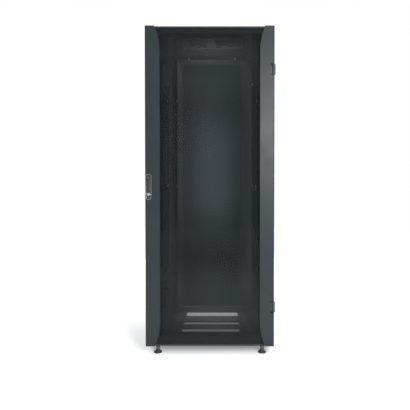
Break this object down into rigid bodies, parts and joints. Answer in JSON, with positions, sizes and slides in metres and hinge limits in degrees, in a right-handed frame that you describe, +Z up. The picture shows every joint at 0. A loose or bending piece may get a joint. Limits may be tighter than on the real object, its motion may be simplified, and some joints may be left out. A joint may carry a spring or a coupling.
{
  "type": "network server rack cabinet",
  "caption": "Floor-standing 19-inch network cabinet with smoked-glass front door, swing handle, steel rear door, removable sides, roof fans and levelling feet.",
  "frame": {"origin": "on the floor under the middle of the cabinet", "axes": "+X to the right seen from the front, +Y from the front door to the rear door, +Z up"},
  "size_m": [0.812, 0.826, 2.043],
  "materials": {
    "door_coat": "fine-texture black powder coat, satin",
    "panel_coat": "fine-texture black powder coat, satin",
    "frame_coat": "black powder coat, satin",
    "rail_coat": "black powder coat on galvanised steel, satin",
    "smoked_glass": "smoked tempered glass, polished",
    "zinc": "bright zinc plating",
    "chrome": "polished chromium plating",
    "rubber": "matt black rubber",
    "black_plastic": "fine-grained black plastic",
    "handle_black": "black lacquered zinc die casting, semi-gloss"
  },
  "bodies": {
    "cabinet": {"base_frame": "frame_coat", "top_frame": "frame_coat", "post_front_left": "frame_coat", "post_front_right": "frame_coat", "post_rear_left": "frame_coat", "post_rear_right": "frame_coat", "rail_front_left": "rail_coat", "rail_front_right": "rail_coat", "rail_rear_left": "rail_coat", "rail_rear_right": "rail_coat", "depth_braces": "frame_coat", "rail_brackets": "frame_coat", "bracket_bolts": "zinc", "base_panel": "frame_coat", "base_cover": "frame_coat", "slide_guides": "frame_coat", "roof_panel": "panel_coat", "roof_grommet": "rubber", "fan_tray": "frame_coat", "fan_housings": "black_plastic", "fan_guards": "zinc", "earth_studs": "zinc", "panel_screws": "zinc", "foot_nuts": "zinc", "front_hinge_brackets": "frame_coat", "rear_hinge_brackets": "frame_coat", "latch_keepers": "zinc"},
    "front_door": {"door_strip_left": "door_coat", "door_strip_right": "door_coat", "door_glass": "smoked_glass", "glass_seal": "rubber", "door_rail_top": "door_coat", "door_rail_bottom": "door_coat", "handle_base": "handle_black", "lock_collar": "chrome", "latch_housing": "zinc", "rod_guides": "black_plastic", "front_hinge_knuckles": "frame_coat"},
    "handle_spindle": {"handle_spindle": "zinc"},
    "handle_lever": {"handle_lever": "handle_black"},
    "lock_plug": {"lock_plug": "chrome"},
    "latch_rod_upper": {"latch_rod_upper": "zinc"},
    "latch_rod_lower": {"latch_rod_lower": "zinc"},
    "rear_door": {"rear_door_panel": "panel_coat", "rear_door_stiffeners": "panel_coat", "rear_lock_body": "handle_black", "rear_hinge_knuckles": "frame_coat"},
    "rear_lock_cam": {"rear_lock_cam": "zinc"},
    "side_panel_left": {"side_panel_left": "panel_coat"},
    "side_panel_right": {"side_panel_right": "panel_coat"},
    "side_latch_left": {"side_latch_left": "zinc"},
    "side_latch_right": {"side_latch_right": "zinc"},
    "base_slide": {"base_slide": "frame_coat"},
    "fan_rotor_left": {"fan_rotor_left": "black_plastic"},
    "fan_rotor_right": {"fan_rotor_right": "black_plastic"},
    "foot_front_left": {"foot_front_left": "black_plastic"},
    "foot_front_right": {"foot_front_right": "black_plastic"},
    "foot_rear_left": {"foot_rear_left": "black_plastic"},
    "foot_rear_right": {"foot_rear_right": "black_plastic"}
  },
  "joints": [
    {"name": "front_door_swing", "type": "hinge", "parent": "cabinet", "child": "front_door", "pos_m": [0.397, -0.39, 1.041], "axis": [0, 0, 1], "range_deg": [0, 130]},
    {"name": "handle_swing", "type": "hinge", "parent": "front_door", "child": "handle_spindle", "pos_m": [-0.377, -0.414, 1.106], "axis": [0, -1, 0], "range_deg": [0, 90]},
    {"name": "lever_lift", "type": "hinge", "parent": "handle_spindle", "child": "handle_lever", "pos_m": [-0.377, -0.414, 1.106], "axis": [-1, 0, 0], "range_deg": [0, 40]},
    {"name": "lock_turn", "type": "hinge", "parent": "front_door", "child": "lock_plug", "pos_m": [-0.377, -0.404, 1.005], "axis": [0, 1, 0], "range_deg": [0, 90]},
    {"name": "rod_upper_slide", "type": "slide", "parent": "front_door", "child": "latch_rod_upper", "axis": [0, 0, -1], "range_m": [0, 0.0201]},
    {"name": "rod_lower_slide", "type": "slide", "parent": "front_door", "child": "latch_rod_lower", "axis": [0, 0, 1], "range_m": [0, 0.0201]},
    {"name": "rear_door_swing", "type": "hinge", "parent": "cabinet", "child": "rear_door", "pos_m": [-0.397, 0.39, 1.041], "axis": [0, 0, 1], "range_deg": [0, 130]},
    {"name": "rear_lock_turn", "type": "hinge", "parent": "rear_door", "child": "rear_lock_cam", "pos_m": [0.322, 0.404, 1.048], "axis": [0, -1, 0], "range_deg": [0, 90]},
    {"name": "side_left_tilt", "type": "hinge", "parent": "cabinet", "child": "side_panel_left", "pos_m": [-0.4, 0, 0.052], "axis": [0, -1, 0], "range_deg": [0, 10]},
    {"name": "side_right_tilt", "type": "hinge", "parent": "cabinet", "child": "side_panel_right", "pos_m": [0.4, 0, 0.052], "axis": [0, 1, 0], "range_deg": [0, 10]},
    {"name": "side_latch_left_turn", "type": "hinge", "parent": "side_panel_left", "child": "side_latch_left", "pos_m": [-0.39, 0, 1.962], "axis": [1, 0, 0], "range_deg": [0, 90]},
    {"name": "side_latch_right_turn", "type": "hinge", "parent": "side_panel_right", "child": "side_latch_right", "pos_m": [0.39, 0, 1.962], "axis": [1, 0, 0], "range_deg": [0, 90]},
    {"name": "base_slide_travel", "type": "slide", "parent": "cabinet", "child": "base_slide", "axis": [0, 1, 0], "range_m": [0, 0.104]},
    {"name": "fan_left_spin", "type": "hinge", "parent": "cabinet", "child": "fan_rotor_left", "pos_m": [-0.09, -0.08, 2.024], "axis": [0, 0, 1], "continuous": true},
    {"name": "fan_right_spin", "type": "hinge", "parent": "cabinet", "child": "fan_rotor_right", "pos_m": [0.09, -0.08, 2.024], "axis": [0, 0, 1], "continuous": true},
    {"name": "foot_front_left_turn", "type": "hinge", "parent": "cabinet", "child": "foot_front_left", "pos_m": [-0.33, -0.342, 0.06], "axis": [0, 0, 1], "continuous": true},
    {"name": "foot_rear_left_turn", "type": "hinge", "parent": "cabinet", "child": "foot_rear_left", "pos_m": [-0.33, 0.342, 0.06], "axis": [0, 0, 1], "continuous": true},
    {"name": "foot_front_right_turn", "type": "hinge", "parent": "cabinet", "child": "foot_front_right", "pos_m": [0.33, -0.342, 0.06], "axis": [0, 0, 1], "continuous": true},
    {"name": "foot_rear_right_turn", "type": "hinge", "parent": "cabinet", "child": "foot_rear_right", "pos_m": [0.33, 0.342, 0.06], "axis": [0, 0, 1], "continuous": true}
  ],
  "couplings": [
    {"joint": "rod_upper_slide", "follows": "handle_swing", "m_per_rad": 0.01275},
    {"joint": "rod_lower_slide", "follows": "handle_swing", "m_per_rad": 0.01275}
  ]
}
